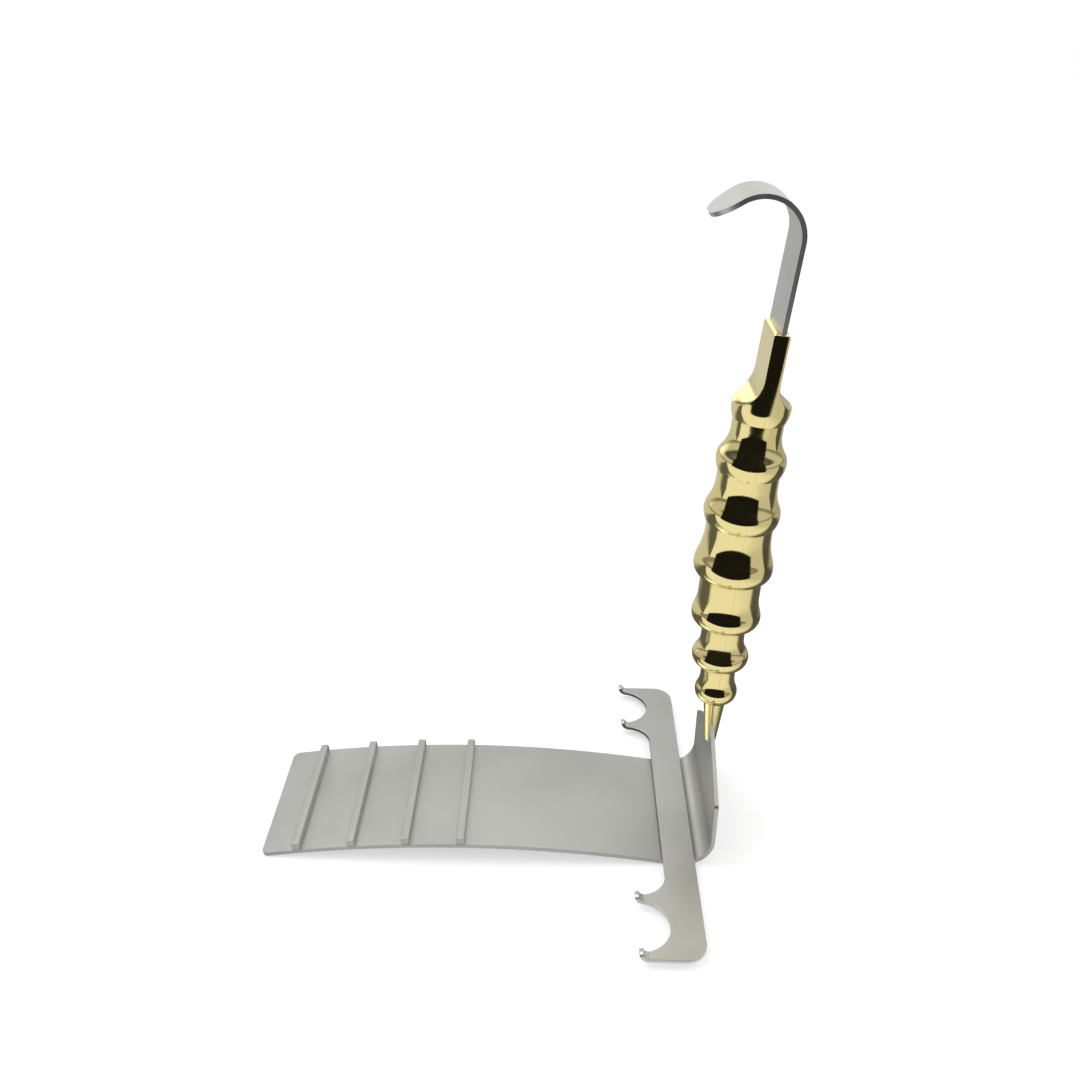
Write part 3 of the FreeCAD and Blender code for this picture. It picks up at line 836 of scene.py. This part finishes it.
def handleTree(material):
    number = "NodeSocketFloat"
    tree, graph, given = newTree("ringedHandle", [
        ("Around", "NodeSocketInt"),
        ("Bow radius", number),
        ("Foot", number),
        ("Start", number),
        ("Neck softness", number),
    ])
    line = graph.get("GeometryNodeMeshToCurve", inputs={0: given["Geometry"]})
    reach = graph.get("GeometryNodeInputNamedAttribute", {"data_type": "FLOAT"}, {"Name": "reach"})
    unit = {"Resolution": given["Around"], "Radius": 1.0}
    circle = graph.get("GeometryNodeCurvePrimitiveCircle", inputs=unit)
    sweep = {"Curve": line, "Profile Curve": circle, "Scale": reach, "Fill Caps": True}
    form = graph.get("GeometryNodeCurveToMesh", inputs=sweep)
    x, y, z = graph.split(graph.get("GeometryNodeInputPosition"))
    flat = graph.get("GeometryNodeInputNamedAttribute", {"data_type": "FLOAT"}, {"Name": "flat"})
    soft = {0: abs(x), 1: flat, 2: given["Neck softness"]}
    pressed = graph.get("ShaderNodeMath", {"operation": "SMOOTH_MIN"}, soft)
    out = pressed * x.call("SIGN")
    tilt = z / given["Bow radius"]
    cosine, sine = tilt.call("COSINE"), tilt.call("SINE")
    bowed = graph.get("ShaderNodeCombineXYZ", inputs={
        "X": given["Start"] + given["Bow radius"] * (1.0 - cosine) + out * cosine,
        "Y": y,
        "Z": given["Foot"] + given["Bow radius"] * sine - out * sine,
    })
    placed = graph.get("GeometryNodeSetPosition", inputs={"Geometry": form, "Position": bowed})
    real = graph.get("GeometryNodeRealizeInstances", inputs={"Geometry": placed})
    finished = graph.get("GeometryNodeSetMaterial", inputs={"Geometry": real, "Material": material})
    graph.add("NodeGroupOutput", inputs={0: finished})
    return tree


handleValues = {
    "Around": handle["around"],
    "Bow radius": bow["radius"] * mm,
    "Foot": bow["foot"] * mm,
    "Start": bow["start"] * mm,
    "Neck softness": handle["neckSoftness"] * mm,
}
gilt = makeGilt("polishedGilt", giltLook, bow)
handleMesh = runTree(handleTree(gilt), stationMesh(handle), handleValues, "handle_shells")
merged = bmesh.new()
merged.from_mesh(handleMesh)
bmesh.ops.remove_doubles(merged, verts=merged.verts, dist=handle["merge"] * mm)
bmesh.ops.recalc_face_normals(merged, faces=merged.faces)
merged.to_mesh(handleMesh)
merged.free()
smoothFaces(handleMesh)
handleMesh.set_sharp_from_angle(angle=math.radians(handle["sharpAngle"]))
shells = ["handle_front_shell", "handle_back_shell"]
newPiece("handle_shells", handleMesh, gilt, shells)
print("handle made:", len(handleMesh.polygons), "faces")


# Stage, light and camera

white = (1.0, 1.0, 1.0, 1.0)

studio = {
    "floorSize": 12.0,
    "floorDrop": 0.00005,  # below the object's lowest points
    "floorColor": (0.96, 0.96, 0.96),
    "shadowShare": 0.5,  # how much of the lit floor shows under the plain white
    "sky": 1.06,
    # The sky as the metal mirrors it: sine of the elevation, strength
    "skyBands": [
        (0.04, 0.60), (0.14, 1.45), (0.32, 1.45), (0.44, 0.20),
        (0.62, 0.34), (0.80, 1.45), (0.90, 1.45), (0.96, 0.50),
    ],
    "sideSky": 0.42,  # share of the low sky that is left beside the object
    "sideWidth": (0.35, 0.85),  # share of a direction that runs along Y: dim, full
    "sideTop": (0.45, 0.75),
    "dark": 0.010,  # the unlit room on the camera's side, which the polished gilt mirrors
    "darkTowards": (-0.25, -0.968),
    "darkWidth": (0.52, 0.60),  # cosines of its half width, outer and inner edge
    "darkTop": (0.74, 0.86),
    "darkFloor": (-0.43, -0.37),  # the dark part of the floor starts here, along Y in metres
    # The floor as the metal mirrors it: place along Y in metres, strength. The dim stretch from 0
    # to 0.12 m, under and behind the object, is painted shadow of the object on the mirrored floor.
    "floorBands": [(-0.06, 0.95), (0.0, 0.13), (0.12, 0.13), (0.26, 0.66)],
    "rightFloor": 0.65,  # share of that left far to the right
    "rightStart": (0.05, 0.35),
}

lamps = [
    {
        "name": "keyLamp",
        "place": (-0.5, 0.1, 0.9),
        "target": (0.0, 0.0, 0.08),
        "size": 0.6,
        "power": 3.0,
    },
    {
        "name": "fillLamp",
        "place": (0.7, 0.2, 0.7),
        "target": (0.0, 0.0, 0.1),
        "size": 0.5,
        "power": 1.2,
    },
]


def banded(graph, place, bands):
    # A smooth run through the bands' values along place
    level = bands[0][1]
    for (start, low), (end, high) in zip(bands, bands[1:]):
        if low != high:
            level = level + graph.spread(place, start, end, 0.0, high - low)
    return level


def flatLength(x, y):
    return (x * x + y * y + 0.0001).call("SQRT")  # never zero, as it divides


def darkSector(graph, x, y, look):
    # 1 where the unlit part of the room lies, 0 beside it
    ahead = (x * look["darkTowards"][0] + y * look["darkTowards"][1]) / flatLength(x, y)
    return graph.spread(ahead, *look["darkWidth"])


def makeFloor(look):
    size = look["floorSize"] / 2
    mesh = bpy.data.meshes.new("floor")
    corners = [(-size, -size, 0), (size, -size, 0), (size, size, 0), (-size, size, 0)]
    mesh.from_pydata(corners, [], [(0, 1, 2, 3)])
    material, graph = newMaterial("paleFloor", look["floorColor"])
    rays = graph.add("ShaderNodeLightPath")
    seen = Wire(graph, rays.outputs["Is Camera Ray"])
    mirrored = Wire(graph, rays.outputs["Is Glossy Ray"])
    through = Wire(graph, rays.outputs["Is Transmission Ray"])
    x, y, _ = graph.split(graph.get("ShaderNodeTexCoord", output=3))
    # The mirrored floor's strength, dim under and behind the object as painted shadow
    level = banded(graph, y, look["floorBands"])
    level = level * graph.spread(x, *look["rightStart"], 1.0, look["rightFloor"])
    room = darkSector(graph, x, y, look) * (1.0 - graph.spread(y, *look["darkFloor"]))
    level = level * (1.0 - room) + look["dark"] * room
    lit = graph.get("ShaderNodeBsdfDiffuse", inputs={"Color": (*look["floorColor"], 1.0)})
    plain = graph.get("ShaderNodeEmission", inputs={"Color": white, "Strength": 1.0})
    toned = graph.get("ShaderNodeEmission", inputs={"Color": white, "Strength": level})
    shown = (seen + through).least(1.0) * (1.0 - look["shadowShare"])
    mixed = graph.get("ShaderNodeMixShader", inputs={0: shown, 1: lit, 2: plain})
    whole = graph.get("ShaderNodeMixShader", inputs={0: mirrored, 1: mixed, 2: toned})
    graph.add("ShaderNodeOutputMaterial", inputs={"Surface": whole})
    mesh.materials.append(material)
    floor = bpy.data.objects.new("floor", mesh)
    floor.location = (0.0, 0.0, -look["floorDrop"])
    bpy.context.scene.collection.objects.link(floor)


def makeWorld(look):
    world = bpy.data.worlds.new("studioRoom")
    world.use_nodes = True
    bpy.context.scene.world = world
    graph = Graph(world.node_tree)
    x, y, z = graph.split(graph.get("ShaderNodeTexCoord", output=0))
    room = darkSector(graph, x, y, look) * (1.0 - graph.spread(z, *look["darkTop"]))
    beside = graph.spread(y / flatLength(x, y), *look["sideWidth"], look["sideSky"], 1.0)
    beside = beside.most(graph.spread(z, *look["sideTop"]))
    strength = banded(graph, z, look["skyBands"]) * beside
    strength = strength * (1.0 - room) + look["dark"] * room
    rays = graph.add("ShaderNodeLightPath")
    glossy = Wire(graph, rays.outputs["Is Glossy Ray"])
    camera = Wire(graph, rays.outputs["Is Camera Ray"])
    plain = graph.get("ShaderNodeBackground", inputs={"Color": white, "Strength": look["sky"]})
    seen = graph.get("ShaderNodeBackground", inputs={"Color": white, "Strength": 1.0})
    mirrored = graph.get("ShaderNodeBackground", inputs={"Color": white, "Strength": strength})
    first = graph.get("ShaderNodeMixShader", inputs={0: glossy, 1: plain, 2: mirrored})
    second = graph.get("ShaderNodeMixShader", inputs={0: camera, 1: first, 2: seen})
    graph.add("ShaderNodeOutputWorld", inputs={"Surface": second})


def makeLamp(look):
    lamp = bpy.data.lights.new(look["name"], "AREA")
    lamp.shape = "DISK"
    lamp.size = look["size"]
    lamp.energy = look["power"]
    holder = bpy.data.objects.new(look["name"], lamp)
    holder.location = look["place"]
    aim = Vector(look["target"]) - Vector(look["place"])
    holder.rotation_euler = aim.to_track_quat("-Z", "Y").to_euler()
    bpy.context.scene.collection.objects.link(holder)


photoCamera = {
    "lens": 36.667,
    "sensor": 36.0,
    "place": (-49.58, -343.73, 303.18),
    "pitch": 27.71,  # degrees down
    "yaw": -0.74,
    "roll": 0.60,
}


def makeCamera(size):
    data = bpy.data.cameras.new("photoCamera")
    data.sensor_fit = "HORIZONTAL"
    data.sensor_width = size["sensor"]
    data.lens = size["lens"]
    data.clip_start = 0.01
    data.clip_end = 20.0
    pitch, yaw, roll = (math.radians(size[key]) for key in ("pitch", "yaw", "roll"))
    level = math.cos(pitch)
    forward = Vector((math.sin(yaw) * level, math.cos(yaw) * level, -math.sin(pitch)))
    right = Vector((math.cos(yaw), -math.sin(yaw), 0.0))
    up = right.cross(forward)
    turnedRight = right * math.cos(roll) + up * math.sin(roll)
    turnedUp = up * math.cos(roll) - right * math.sin(roll)
    turn = Matrix((turnedRight, turnedUp, -forward)).transposed().to_4x4()
    holder = bpy.data.objects.new("photoCamera", data)
    holder.matrix_world = Matrix.Translation(Vector(size["place"]) * mm) @ turn
    bpy.context.scene.collection.objects.link(holder)
    bpy.context.scene.camera = holder


makeFloor(studio)
makeWorld(studio)
for lampLook in lamps:
    makeLamp(lampLook)
makeCamera(photoCamera)
bpy.context.scene.view_settings.view_transform = "Standard"
print("stage, lamps and camera made")
